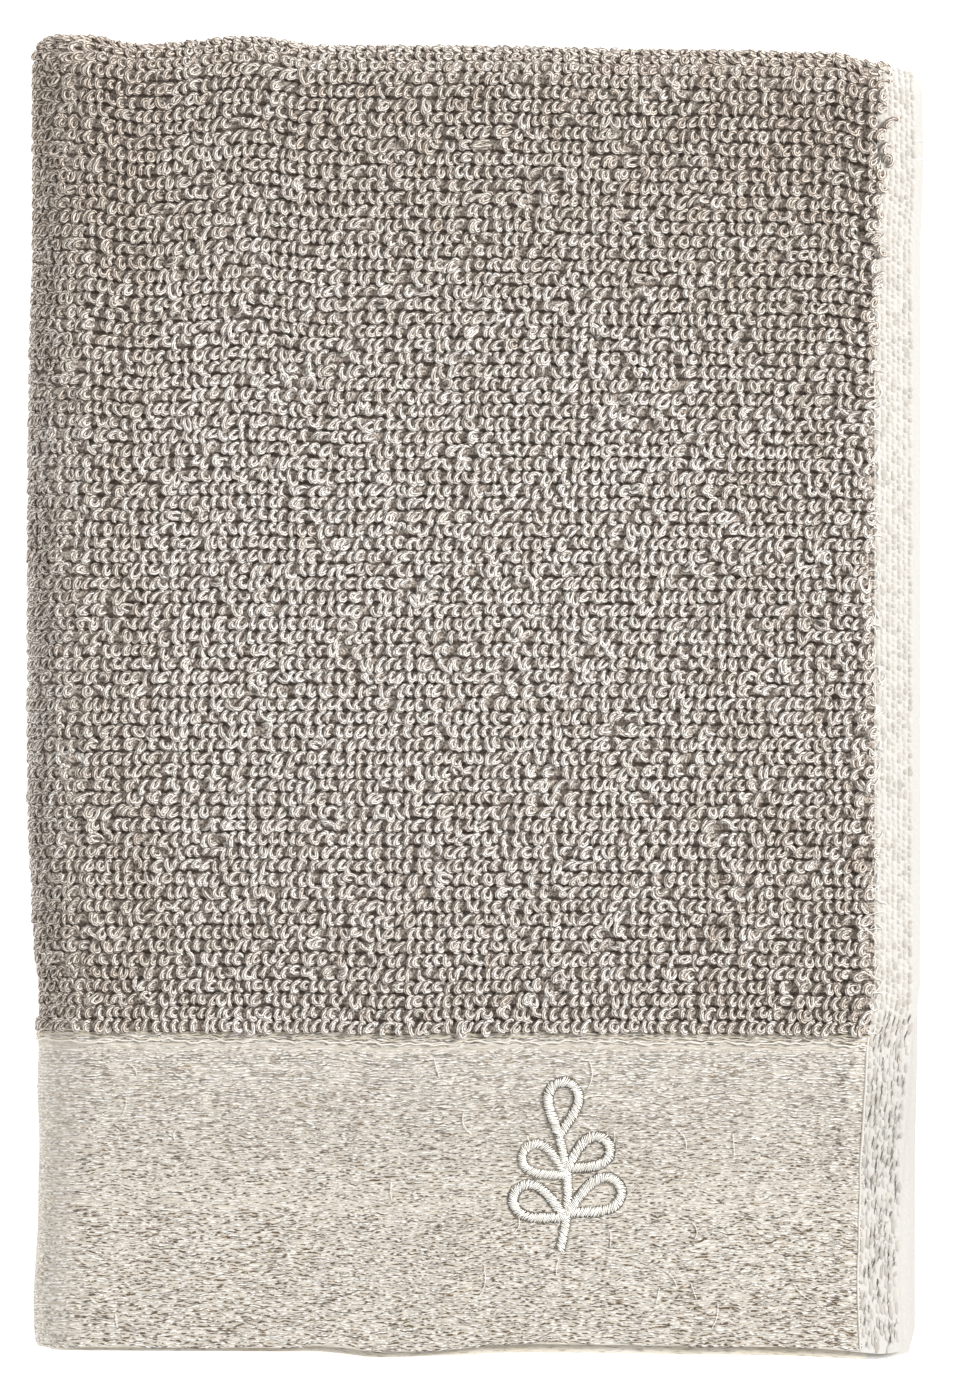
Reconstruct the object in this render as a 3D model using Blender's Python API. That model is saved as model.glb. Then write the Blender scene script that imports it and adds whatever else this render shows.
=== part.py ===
"""Folded hand towel, modelled as the one woven sheet that it is.

The sheet is 0.5 m wide and 1 m long: looped pile, a flat-woven band at each end and a
selvedge down each side. It is folded in half twice along its length, which makes a stack
of four layers, and that stack is then folded in three across its width, back and forth.
Every point of the sheet is first laid in the four-layer stack and then carried round the
two wide turns. The selvedge side lies at +X, the banded ends at -Y, and z = 0 is the
surface that the towel rests on.
"""

import math

import bmesh
import bpy

# ---------------------------------------------------------------- the sheet as woven (m)
FLAT_WIDTH = 0.500
FLAT_LENGTH = 1.000
BAND_LENGTH = 0.0595
SELVEDGE_WIDTH = 0.0088

PILE_THICKNESS = 0.0024
BAND_THICKNESS = 0.0013
SELVEDGE_THICKNESS = 0.0012
PILE_RAMP = 0.0030            # length over which the pile thins to band or selvedge
SETTLE_RAMP = 0.0340          # length over which the stack comes down to the thinner band

# ---------------------------------------------------------------- the folds (m)
LAYER_GAP = 0.0005            # between the layers of the four-layer stack
STACK_GAP = 0.0006            # between the three stacks
TOP_END_SHORT = 0.0017        # how far the visible end lies past the lower turn's centre
NEXT_END_SHORT = 0.0037       # the same for the end beneath it, which peeks out
LOWER_SELVEDGE_PAST = 0.0065  # how far the hidden selvedge lies past the left turn's centre
UPPER_SELVEDGE_PAST = 0.0114  # how far the visible selvedge lies past the right turn's centre
SINK_SHARE = 0.5              # of the room that thin selvedges leave, taken up by sinking
SINK_WIDTH = 0.0140
DRAWN_WIDTH = 0.0300          # width over which a selvedge is drawn in beside the band

LAYER_RISE = PILE_THICKNESS + LAYER_GAP
STACK_HEIGHT = 4 * PILE_THICKNESS + 3 * LAYER_GAP
SMALL_TURN = LAYER_RISE / 2               # middle radius of the bend between two layers
LARGE_TURN = 1.5 * LAYER_RISE             # middle radius of the bend that goes round it
WIDE_TURN = (STACK_HEIGHT + STACK_GAP) / 2

# One run of the length, and one of the width, between the centres of their turns
RUN = (
    FLAT_LENGTH - math.pi * (LARGE_TURN + 2 * SMALL_TURN) - TOP_END_SHORT - NEXT_END_SHORT
) / 4
SPAN = (
    FLAT_WIDTH - 2 * math.pi * WIDE_TURN - LOWER_SELVEDGE_PAST - UPPER_SELVEDGE_PAST
) / 3

OUTER_TURN_REACH = LARGE_TURN + PILE_THICKNESS / 2
FOLDED_LENGTH = RUN + OUTER_TURN_REACH + NEXT_END_SHORT
Y_UPPER = FOLDED_LENGTH / 2 - OUTER_TURN_REACH
Y_LOWER = Y_UPPER - RUN
Y_BAND = Y_LOWER - TOP_END_SHORT + BAND_LENGTH
X_LEFT = -SPAN / 2
X_RIGHT = SPAN / 2

# ---------------------------------------------------------------- unevenness of the folds
# Each table holds a place along an edge and how far the edge is moved there, in metres.
# left fold: (y, shift in x)
LEFT_FOLD = (
    (0.1260, 0.0016),
    (0.0850, 0.0010),
    (0.0620, 0.0003),
    (0.0300, 0.0000),
    (-0.0200, 0.0000),
    (-0.0400, 0.0008),
    (-0.0620, 0.0023),
    (-0.0800, 0.0012),
    (-0.0980, 0.0002),
    (-0.1180, -0.0007),
    (-0.1260, -0.0004),
)
# upper fold: (x, shift in y)
UPPER_FOLD = (
    (-0.0850, -0.0004),
    (-0.0740, 0.0004),
    (-0.0640, -0.0010),
    (-0.0430, 0.0004),
    (-0.0280, -0.0013),
    (0.0020, -0.0014),
    (0.0320, -0.0020),
    (0.0680, -0.0026),
    (0.0770, -0.0046),
    (0.0860, -0.0056),
)
# right side: (y, shift in x)
RIGHT_SIDE = (
    (0.1260, 0.0004),
    (0.1050, 0.0006),
    (0.0900, 0.0000),
    (-0.0600, 0.0000),
    (-0.0900, -0.0004),
    (-0.1260, -0.0004),
)
# banded ends: (x, shift in y)
BANDED_ENDS = (
    (-0.0850, 0.0008),
    (-0.0300, 0.0006),
    (-0.0170, -0.0006),
    (-0.0060, -0.0002),
    (0.0080, 0.0004),
    (0.0560, -0.0001),
    (0.0790, -0.0010),
    (0.0860, 0.0002),
)
# how far in each layer's free selvedge lies
SELVEDGE_SLIP = {"layer 0": 0.0006, "layer 1": 0.0013, "layer 2": 0.0004, "layer 3": 0.0}
# how far the visible layer's selvedge is drawn in beside the band: (y, shift in x)
DRAWN_SELVEDGE = (
    (-0.0560, 0.0000),
    (-0.0680, 0.0018),
    (-0.0950, 0.0029),
    (-0.1120, 0.0034),
    (-0.1260, 0.0028),
)
# soft rises and hollows of the stack: (x, y, radius, rise as a share of the height)
SWELLS = (
    (-0.0450, 0.0300, 0.0500, 0.020),
    (0.0300, 0.0850, 0.0450, 0.015),
    (0.0450, -0.0200, 0.0500, -0.015),
    (-0.0550, -0.0350, 0.0350, -0.010),
    (0.0000, -0.0950, 0.0450, 0.015),
)

# ---------------------------------------------------------------- steps of the mesh
TURN_STEPS = 5
WIDE_TURN_STEPS = 7
PILE_RUN_STEPS = 6
BAND_RUN_STEPS = 2
HIDDEN_SPAN_STEPS = 4
SHOWN_SPAN_STEPS = 10

# ---------------------------------------------------------------- finish
CLOTH_COLOUR = (0.62, 0.56, 0.49, 1.0)
CLOTH_ROUGHNESS = 0.95


def smooth(value):
    """0 below 0, 1 above 1, with a soft step between."""
    value = min(1.0, max(0.0, value))
    return value * value * (3 - 2 * value)


def read_table(table, place):
    """The table's value at a place, softly joined from row to row."""
    rows = sorted(table)
    if place <= rows[0][0]:
        return rows[0][1]
    for (low, at_low), (high, at_high) in zip(rows, rows[1:]):
        if place <= high:
            return at_low + (at_high - at_low) * smooth((place - low) / (high - low))
    return rows[-1][1]


# ---------------------------------------------------------------- along the length
def layer_thickness(layer, y, ramp=PILE_RAMP):
    """Layers 0 and 1 are pile all along, layers 2 and 3 end in a band."""
    if layer < 2:
        return PILE_THICKNESS
    return PILE_THICKNESS + (BAND_THICKNESS - PILE_THICKNESS) * smooth((Y_BAND - y) / ramp)


def layer_room(layer, y):
    """The height that a layer takes up. Past the pile's end it settles over a longer way."""
    return layer_thickness(layer, y, SETTLE_RAMP)


def stack_height(y):
    """Height of the four layers."""
    return sum(layer_room(layer, y) for layer in range(4)) + 3 * LAYER_GAP


def layer_middle(layer, y, sink):
    """Height of a layer's middle in the stack. Near a free selvedge sink goes up to SINK_SHARE."""
    middle = layer_room(0, y) / 2
    for k in range(1, layer + 1):
        room = (layer_room(k - 1, y) + layer_room(k, y)) / 2
        middle += room + LAYER_GAP - sink * (room - SELVEDGE_THICKNESS)
    return middle


def run_places(last):
    """Places down one run, the same in each layer, so that layers never cross."""
    places = [Y_UPPER + (Y_BAND - Y_UPPER) * k / PILE_RUN_STEPS for k in range(PILE_RUN_STEPS + 1)]
    start = Y_BAND - PILE_RAMP
    places += [start + (Y_LOWER - start) * k / BAND_RUN_STEPS for k in range(BAND_RUN_STEPS + 1)]
    if last < Y_LOWER:
        places.append(last)
    return places


def length_stations():
    """The sheet's stations from the visible end to the one beneath it: (part, place).

    A part is a layer with a place in y, or a turn with an angle.
    """
    turn = [math.pi * k / TURN_STEPS for k in range(1, TURN_STEPS)]
    stations = [("layer 3", y) for y in reversed(run_places(Y_LOWER - TOP_END_SHORT))]
    stations += [("large turn", angle) for angle in turn]
    stations += [("layer 0", y) for y in run_places(Y_LOWER)]
    stations += [("lower turn", angle) for angle in turn]
    stations += [("layer 1", y) for y in reversed(run_places(Y_LOWER))]
    stations += [("small turn", angle) for angle in turn]
    stations += [("layer 2", y) for y in run_places(Y_LOWER - NEXT_END_SHORT)]
    return stations


# Which way the sheet's shown face looks in each layer
FACING = {"layer 0": -1, "layer 1": 1, "layer 2": -1, "layer 3": 1}
# Which layers each turn joins
TURN_JOINS = {
    "large turn": ("layer 3", "layer 0"),
    "lower turn": ("layer 0", "layer 1"),
    "small turn": ("layer 1", "layer 2"),
}


def lay_in_stack(part, place, face, from_selvedge):
    """(y, height in the stack) of one face of the sheet, at a distance from its selvedge."""
    free = 1 - smooth((from_selvedge - SELVEDGE_WIDTH) / PILE_RAMP)
    sink = SINK_SHARE * (1 - smooth(from_selvedge / SINK_WIDTH))
    if part in FACING:
        layer = int(part[-1])
        thick = layer_thickness(layer, place)
        thick += (SELVEDGE_THICKNESS - thick) * free
        return place, layer_middle(layer, place, sink) + FACING[part] * face * thick / 2
    thick = PILE_THICKNESS + (SELVEDGE_THICKNESS - PILE_THICKNESS) * free
    rise = LAYER_RISE - sink * (PILE_THICKNESS - SELVEDGE_THICKNESS)
    lowest = PILE_THICKNESS / 2
    if part == "large turn":
        radius = 1.5 * rise + face * thick / 2
        return Y_UPPER + radius * math.sin(place), lowest + 1.5 * rise + radius * math.cos(place)
    if part == "small turn":
        radius = rise / 2 - face * thick / 2
        return Y_UPPER + radius * math.sin(place), lowest + 1.5 * rise - radius * math.cos(place)
    radius = rise / 2 + face * thick / 2
    return Y_LOWER - radius * math.sin(place), lowest + rise / 2 - radius * math.cos(place)


# ---------------------------------------------------------------- across the width
def span_places(start, end, steps):
    """Evenly spaced places from start to end, both included."""
    return [start + (end - start) * k / steps for k in range(steps + 1)]


def width_stations():
    """Stations from the hidden selvedge to the visible one: (part, place, distance from selvedge)."""
    far = FLAT_WIDTH
    turn = [math.pi * k / WIDE_TURN_STEPS for k in range(1, WIDE_TURN_STEPS)]
    edges = (0.0, SELVEDGE_WIDTH, SELVEDGE_WIDTH + PILE_RAMP)
    low, high = X_LEFT - LOWER_SELVEDGE_PAST, X_RIGHT + UPPER_SELVEDGE_PAST
    stations = [("bottom", low + edge, edge) for edge in edges]
    for x in span_places(low + edges[-1], X_RIGHT, HIDDEN_SPAN_STEPS)[1:]:
        stations.append(("bottom", x, x - low))
    stations += [("right turn", angle, far) for angle in turn]
    stations += [("middle", x, far) for x in span_places(X_RIGHT, X_LEFT, HIDDEN_SPAN_STEPS)]
    stations += [("left turn", angle, far) for angle in turn]
    for x in span_places(X_LEFT, high - edges[-1], SHOWN_SPAN_STEPS)[:-1]:
        stations.append(("top", x, high - x))
    stations += [("top", high - edge, edge) for edge in reversed(edges)]
    return stations


def carry_across(part, place, height, stack):
    """(x, z) of a point of the stack, which is folded back and forth in three."""
    if part == "bottom":
        return place, height
    if part == "right turn":
        radius = STACK_GAP / 2 + stack - height
        return X_RIGHT + radius * math.sin(place), stack + STACK_GAP / 2 - radius * math.cos(place)
    if part == "middle":
        return place, 2 * stack + STACK_GAP - height
    if part == "left turn":
        radius = STACK_GAP / 2 + height
        centre = 2 * stack + 1.5 * STACK_GAP
        return X_LEFT - radius * math.sin(place), centre - radius * math.cos(place)
    return place, 2 * (stack + STACK_GAP) + height


def selvedge_slip(layer_part, along, y):
    """How far in a layer's free selvedge lies. Beside the band the shown layer is drawn in."""
    if layer_part == "layer 3":
        return SELVEDGE_SLIP["layer 3"] + read_table(DRAWN_SELVEDGE, y)
    if layer_part in SELVEDGE_SLIP:
        return SELVEDGE_SLIP[layer_part]
    start, end = TURN_JOINS[layer_part]
    return SELVEDGE_SLIP[start] + (SELVEDGE_SLIP[end] - SELVEDGE_SLIP[start]) * along / math.pi


def slip_selvedge(part, x, slip, from_selvedge):
    """Moves the free selvedges of the lowest and the highest stack inwards."""
    if part not in ("bottom", "top"):
        return x
    shift = slip * (1 - smooth(from_selvedge / DRAWN_WIDTH))
    return x - shift if part == "top" else x + shift


def settle(x, y, z):
    """Moves the evenly folded towel into its slightly uneven outline. z = 0 stays flat."""
    half_width = SPAN / 2 + STACK_HEIGHT + STACK_GAP / 2
    half_length = FOLDED_LENGTH / 2
    across = x / half_width
    along = y / half_length
    rise = sum(
        share * math.exp(-((x - cx) ** 2 + (y - cy) ** 2) / radius**2)
        for cx, cy, radius, share in SWELLS
    )
    new_x = x + read_table(LEFT_FOLD, y) * smooth(-across) + read_table(RIGHT_SIDE, y) * smooth(across)
    new_y = y + read_table(UPPER_FOLD, x) * smooth(along) + read_table(BANDED_ENDS, x) * smooth(-along)
    return new_x, new_y, z * (1 + rise)


# ---------------------------------------------------------------- the solid
def sheet_points(face):
    """The face's points, one row for each station of the width."""
    rows = []
    for part, place, from_selvedge in width_stations():
        row = []
        for layer_part, along in length_stations():
            y, height = lay_in_stack(layer_part, along, face, from_selvedge)
            x, z = carry_across(part, place, height, stack_height(y))
            x = slip_selvedge(part, x, selvedge_slip(layer_part, along, y), from_selvedge)
            row.append(settle(x, y, z))
        rows.append(row)
    return rows


def fill_grid(mesh, grid):
    """Quads between neighbouring points of a grid."""
    for row, next_row in zip(grid, grid[1:]):
        for a, b, c, d in zip(row, row[1:], next_row[1:], next_row):
            mesh.faces.new((a, b, c, d))


def close_rim(mesh, shown, hidden):
    """Joins the rims of the two faces, which are the selvedges and the two cut ends."""
    def rim(grid):
        ends = [row[-1] for row in grid[1:-1]], [row[0] for row in grid[-2:0:-1]]
        return [*grid[0], *ends[0], *reversed(grid[-1]), *ends[1]]

    outer, inner = rim(shown), rim(hidden)
    for k, vertex in enumerate(outer):
        mesh.faces.new((vertex, inner[k], inner[k - 1], outer[k - 1]))


def centre_on_origin(mesh):
    """Puts the middle of the folded outline over the origin."""
    middle = [
        (min(v.co[axis] for v in mesh.verts) + max(v.co[axis] for v in mesh.verts)) / 2
        for axis in (0, 1)
    ]
    bmesh.ops.translate(mesh, vec=(-middle[0], -middle[1], 0.0), verts=mesh.verts)


def cloth_material():
    """Oatmeal cotton, seen from too far off to tell the loops apart."""
    material = bpy.data.materials.new("towel_cloth")
    material.use_nodes = True
    shader = material.node_tree.nodes["Principled BSDF"]
    shader.inputs["Base Color"].default_value = CLOTH_COLOUR
    shader.inputs["Roughness"].default_value = CLOTH_ROUGHNESS
    shader.inputs["Metallic"].default_value = 0.0
    material.diffuse_color = CLOTH_COLOUR
    return material


def make_towel():
    """The one closed solid: shown face, hidden face and the rim that joins them."""
    mesh = bmesh.new()
    faces = {
        face: [[mesh.verts.new(point) for point in row] for row in sheet_points(face)]
        for face in (1, -1)
    }
    fill_grid(mesh, faces[1])
    fill_grid(mesh, faces[-1])
    close_rim(mesh, faces[1], faces[-1])
    bmesh.ops.recalc_face_normals(mesh, faces=mesh.faces)
    centre_on_origin(mesh)
    data = bpy.data.meshes.new("towel")
    mesh.to_mesh(data)
    mesh.free()
    data.shade_smooth()
    data.set_sharp_from_angle(angle=math.radians(50))
    data.materials.append(cloth_material())
    towel = bpy.data.objects.new("towel", data)
    bpy.context.scene.collection.objects.link(towel)
    return towel


def clear_scene():
    """Removes whatever the opened scene holds."""
    for item in list(bpy.data.objects):
        bpy.data.objects.remove(item)


clear_scene()
make_towel()
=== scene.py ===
# %% [markdown]
# # A folded hand towel, loop by loop
# The towel is one woven sheet of half a metre by one metre. Most of it is looped pile of
# two-coloured yarn, each end is a flat-woven band, and a pale selvedge runs down both sides.
# It is folded in four along its length and back and forth in three across its width.
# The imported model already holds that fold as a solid. Here the same fold is written as a
# formula, and everything fine is first laid out on the flat cloth and then carried through
# it: the sheet, each loop of the pile, the threads of the band and the stitches.

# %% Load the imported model
import math

import bpy
import numpy as np
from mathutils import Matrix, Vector


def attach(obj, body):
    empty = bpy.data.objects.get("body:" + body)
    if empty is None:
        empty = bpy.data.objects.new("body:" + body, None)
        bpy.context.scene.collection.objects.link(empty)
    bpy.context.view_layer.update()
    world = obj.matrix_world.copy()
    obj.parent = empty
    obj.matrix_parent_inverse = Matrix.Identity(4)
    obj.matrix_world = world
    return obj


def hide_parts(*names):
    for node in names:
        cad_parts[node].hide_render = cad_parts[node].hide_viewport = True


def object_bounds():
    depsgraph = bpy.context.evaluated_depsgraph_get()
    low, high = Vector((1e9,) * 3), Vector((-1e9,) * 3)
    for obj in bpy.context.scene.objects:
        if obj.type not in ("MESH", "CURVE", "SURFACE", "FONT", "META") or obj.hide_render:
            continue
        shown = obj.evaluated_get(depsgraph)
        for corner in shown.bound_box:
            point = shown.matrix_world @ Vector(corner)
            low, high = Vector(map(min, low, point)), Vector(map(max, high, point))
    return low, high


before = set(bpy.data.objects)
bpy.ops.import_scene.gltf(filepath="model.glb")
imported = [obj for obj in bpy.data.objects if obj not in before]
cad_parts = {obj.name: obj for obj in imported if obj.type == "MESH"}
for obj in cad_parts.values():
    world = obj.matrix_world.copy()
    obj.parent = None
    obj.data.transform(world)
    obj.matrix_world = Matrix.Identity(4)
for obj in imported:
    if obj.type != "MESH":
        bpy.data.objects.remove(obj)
cad_low, cad_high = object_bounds()
scene = bpy.context.scene
print("the folded towel is", [round(1000 * side, 1) for side in cad_high - cad_low], "mm")

# %% [markdown]
# ## The sheet as woven
# These are the sizes that a weaver would know. They are the same as in the solid, so the
# fold below comes out in the same place.

# %% Sizes of the cloth and of its folds, in metres
FLAT_WIDTH, FLAT_LENGTH = 0.500, 1.000
BAND_LENGTH = 0.0595
SELVEDGE_WIDTH = 0.0088
PILE_THICKNESS, BAND_THICKNESS, SELVEDGE_THICKNESS = 0.0024, 0.0013, 0.0012
PILE_RAMP = 0.0030
SETTLE_RAMP = 0.0340
LAYER_GAP, STACK_GAP = 0.0005, 0.0006
TOP_END_SHORT, NEXT_END_SHORT = 0.0017, 0.0037
LOWER_SELVEDGE_PAST, UPPER_SELVEDGE_PAST = 0.0065, 0.0114
SINK_SHARE, SINK_WIDTH, DRAWN_WIDTH = 0.5, 0.0140, 0.0300

LAYER_RISE = PILE_THICKNESS + LAYER_GAP
STACK_HEIGHT = 4 * PILE_THICKNESS + 3 * LAYER_GAP
SMALL_TURN, LARGE_TURN = LAYER_RISE / 2, 1.5 * LAYER_RISE
WIDE_TURN = (STACK_HEIGHT + STACK_GAP) / 2
TURNS_ALONG = math.pi * (LARGE_TURN + 2 * SMALL_TURN)
RUN = (FLAT_LENGTH - TURNS_ALONG - TOP_END_SHORT - NEXT_END_SHORT) / 4
SPAN = (
    FLAT_WIDTH - 2 * math.pi * WIDE_TURN - LOWER_SELVEDGE_PAST - UPPER_SELVEDGE_PAST
) / 3
OUTER_TURN_REACH = LARGE_TURN + PILE_THICKNESS / 2
FOLDED_LENGTH = RUN + OUTER_TURN_REACH + NEXT_END_SHORT
Y_UPPER = FOLDED_LENGTH / 2 - OUTER_TURN_REACH
Y_LOWER = Y_UPPER - RUN
Y_BAND = Y_LOWER - TOP_END_SHORT + BAND_LENGTH
X_LEFT, X_RIGHT = -SPAN / 2, SPAN / 2
print("one run is", round(1000 * RUN, 1), "mm and one span", round(1000 * SPAN, 1), "mm")

# %% [markdown]
# ## Where a place on the flat cloth goes
# A place across the cloth is called u and a place along it v. Along its length the cloth
# has seven parts: four flat runs, called layers, and three turns. Across its width it has
# five: three spans and two wide turns. A lookup of where each part starts is all that is
# needed to find the part of any u or v, and numpy does it for a whole mesh at once.

# %% The parts of the cloth and where they start
ALONG = (
    ("layer 3", RUN + TOP_END_SHORT),
    ("large turn", math.pi * LARGE_TURN),
    ("layer 0", RUN),
    ("lower turn", math.pi * SMALL_TURN),
    ("layer 1", RUN),
    ("small turn", math.pi * SMALL_TURN),
    ("layer 2", RUN + NEXT_END_SHORT),
)
ACROSS = (
    ("bottom", SPAN + LOWER_SELVEDGE_PAST),
    ("right turn", math.pi * WIDE_TURN),
    ("middle", SPAN),
    ("left turn", math.pi * WIDE_TURN),
    ("top", SPAN + UPPER_SELVEDGE_PAST),
)


def starts_of(parts):
    """Each part's start on the flat cloth, by name."""
    starts, place = {}, 0.0
    for name, length in parts:
        starts[name] = place
        place += length
    return starts


V_START, U_START = starts_of(ALONG), starts_of(ACROSS)
print("parts along the cloth start at", {n: round(v, 3) for n, v in V_START.items()})

# %% Unevenness of the folds, in millimetres
# Each row is a place and how far the cloth moves there. Between two rows the move is even.
# Left side: (y, move to the right).
LEFT_FOLD = (
    (126, 0.9), (85, 1), (62, 0.3), (30, 0), (-20, 0), (-40, 0.8), (-62, 2.3), (-80, 1.2),
    (-98, 0.2), (-118, -0.7), (-126, -0.4),
)
# Upper fold: (x, move up).
UPPER_FOLD = (
    (-85, 1), (-74, 0.6), (-64, -1), (-43, 0.4), (-28, -1.3), (2, -1.4), (32, -2), (68, -2.6),
    (77, -4.6), (86, -5.6),
)
# Right side: (y, move to the right).
RIGHT_SIDE = (
    (126, 0.4), (105, 0.6), (90, 0), (-60, 0), (-90, -0.4), (-126, -0.4),
)
# Lower side, where the banded ends lie: (x, move up).
BANDED_ENDS = (
    (-85, 0.8), (-30, 0.6), (-17, -0.6), (-6, -0.2), (8, 0.4), (56, -0.1), (79, -1),
    (86, 0.2),
)
# The top layer's selvedge, drawn in beside its band: (y, move to the left).
DRAWN_SELVEDGE = (
    (-56, 0), (-68, 1.8), (-95, 2.9), (-112, 3.4), (-126, 2.8),
)
# The top layer's end reaches down over the end below it, so that no wide strip of the
# lower layer shows: (x, reach).
TOP_END_REACH = (
    (-86, 1.35), (-40, 1.3), (-25, 0.8), (-6, 1), (4, 0.35), (70, 0.35), (86, 1),
)

# %% More numbers of the folds, in metres
END_REACH_RAMP = 0.012                # length of cloth over which that reach builds up
CORNER_START, CORNER_RADIUS = -0.1238, 0.0027     # of the round lower corners
# How far each layer's selvedge slips from the one on top, and which layers a turn joins.
SELVEDGE_SLIP = {"layer 0": 0.0006, "layer 1": 0.0013, "layer 2": 0.0004, "layer 3": 0.0}
TURN_JOINS = {
    "large turn": ("layer 3", "layer 0"),
    "lower turn": ("layer 0", "layer 1"),
    "small turn": ("layer 1", "layer 2"),
}
# Soft swells and dips of the upper side: (x, y, radius, share of the height).
SWELLS = (
    (-0.0450, 0.0300, 0.0500, 0.020),
    (0.0300, 0.0850, 0.0450, 0.015),
    (0.0450, -0.0200, 0.0500, -0.015),
    (-0.0550, -0.0350, 0.0350, -0.010),
    (0.0000, -0.0950, 0.0450, 0.015),
)


def smooth(value):
    """0 below 0, 1 above 1, with a soft step between."""
    value = np.clip(value, 0.0, 1.0)
    return value * value * (3 - 2 * value)


def read_table(table, place):
    """A table's value at each place, both in metres, softly joined from row to row."""
    places, values = 0.001 * np.array(sorted(table)).T
    place = np.clip(place, places[0], places[-1])
    k = np.clip(np.searchsorted(places, place) - 1, 0, len(table) - 2)
    share = smooth((place - places[k]) / (places[k + 1] - places[k]))
    return values[k] + (values[k + 1] - values[k]) * share


# %% [markdown]
# ## The fold as a formula
# `lay_in_stack` turns v into a place in the stack of four layers: how far up the towel, and
# how high in the stack. `carry_across` takes that stack round the two wide turns. `settle`
# moves the even result into the towel's own, slightly uneven outline. A height above the
# middle of the sheet goes along, so that a loop standing on the cloth turns with it.

# %% Along the length: four layers and three turns
def layer_thickness(layer, y, ramp=PILE_RAMP):
    """Layers 0 and 1 are pile all along, layers 2 and 3 end in a band."""
    if layer < 2:
        return np.full_like(y, PILE_THICKNESS)
    return PILE_THICKNESS + (BAND_THICKNESS - PILE_THICKNESS) * smooth((Y_BAND - y) / ramp)


def stack_height(y):
    """Height of the four layers."""
    return sum(layer_thickness(k, y, SETTLE_RAMP) for k in range(4)) + 3 * LAYER_GAP


def layer_middle(layer, y, sink):
    """Height of a layer's middle. Near a free selvedge the layers sink together."""
    middle = layer_thickness(0, y, SETTLE_RAMP) / 2
    for k in range(1, layer + 1):
        room = (layer_thickness(k - 1, y, SETTLE_RAMP) + layer_thickness(k, y, SETTLE_RAMP)) / 2
        middle = middle + room + LAYER_GAP - sink * (room - SELVEDGE_THICKNESS)
    return middle


def half_thickness(layer_or_turn, y, from_selvedge):
    """Half the sheet's thickness at a place."""
    free = 1 - smooth((from_selvedge - SELVEDGE_WIDTH) / PILE_RAMP)
    if layer_or_turn.startswith("layer"):
        thick = layer_thickness(int(layer_or_turn[-1]), y)
    else:
        thick = np.full_like(y, PILE_THICKNESS)
    return (thick + (SELVEDGE_THICKNESS - thick) * free) / 2


def lay_in_stack(part, distance, lift, from_selvedge):
    """(y, height, slip) of points at a distance into a part, lifted off the sheet's middle."""
    sink = SINK_SHARE * (1 - smooth(from_selvedge / SINK_WIDTH))
    rise = LAYER_RISE - sink * (PILE_THICKNESS - SELVEDGE_THICKNESS)
    lowest = PILE_THICKNESS / 2
    if part.startswith("layer"):
        layer = int(part[-1])
        start = Y_LOWER - TOP_END_SHORT if layer == 3 else Y_LOWER
        y = start + distance if layer in (1, 3) else Y_UPPER - distance
        up = 1 if layer in (1, 3) else -1
        slip = np.full_like(y, SELVEDGE_SLIP[part])
        if layer == 3:
            slip = slip + read_table(DRAWN_SELVEDGE, y)
        return y, layer_middle(layer, y, sink) + up * lift, slip
    first, last = TURN_JOINS[part]
    middle = LARGE_TURN if part == "large turn" else SMALL_TURN
    angle = distance / middle
    slip = SELVEDGE_SLIP[first] + (SELVEDGE_SLIP[last] - SELVEDGE_SLIP[first]) * angle / math.pi
    sine, cosine = np.sin(angle), np.cos(angle)
    if part == "large turn":
        radius = 1.5 * rise + lift
        return Y_UPPER + radius * sine, lowest + 1.5 * rise + radius * cosine, slip
    if part == "small turn":
        radius = rise / 2 - lift
        return Y_UPPER + radius * sine, lowest + 1.5 * rise - radius * cosine, slip
    radius = rise / 2 + lift
    return Y_LOWER - radius * sine, lowest + rise / 2 - radius * cosine, slip


# %% Across the width: three spans and two wide turns
def carry_across(part, distance, height, stack):
    """(x, z) of points of the stack, which is folded back and forth in three."""
    if part == "bottom":
        return X_LEFT - LOWER_SELVEDGE_PAST + distance, height
    if part == "middle":
        return X_RIGHT - distance, 2 * stack + STACK_GAP - height
    if part == "top":
        return X_LEFT + distance, 2 * (stack + STACK_GAP) + height
    angle = distance / WIDE_TURN
    if part == "right turn":
        radius = STACK_GAP / 2 + stack - height
        return X_RIGHT + radius * np.sin(angle), stack + STACK_GAP / 2 - radius * np.cos(angle)
    radius = STACK_GAP / 2 + height
    centre = 2 * stack + 1.5 * STACK_GAP
    return X_LEFT - radius * np.sin(angle), centre - radius * np.cos(angle)


def settle(x, y, z):
    """The slightly uneven outline with rounded lower corners. z = 0 stays flat."""
    across = x / (SPAN / 2 + STACK_HEIGHT + STACK_GAP / 2)
    along = y / (FOLDED_LENGTH / 2)
    rise = sum(
        share * np.exp(-((x - cx) ** 2 + (y - cy) ** 2) / radius**2)
        for cx, cy, radius, share in SWELLS
    )
    left, right = read_table(LEFT_FOLD, y), read_table(RIGHT_SIDE, y)
    upper, lower = read_table(UPPER_FOLD, x), read_table(BANDED_ENDS, x)
    new_x = x + left * smooth(-across) + right * smooth(across)
    into_corner = ((CORNER_START - y) / CORNER_RADIUS).clip(0, 1)
    drawn_in = CORNER_RADIUS * (1 - np.sqrt(1 - into_corner**2 * 0.98))
    new_x = new_x + drawn_in * (smooth(-4 * across - 3) - smooth(4 * across - 3))
    new_y = y + upper * smooth(along) + lower * smooth(-along)
    return np.stack([new_x, new_y, z * (1 + rise)], axis=-1)


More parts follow.
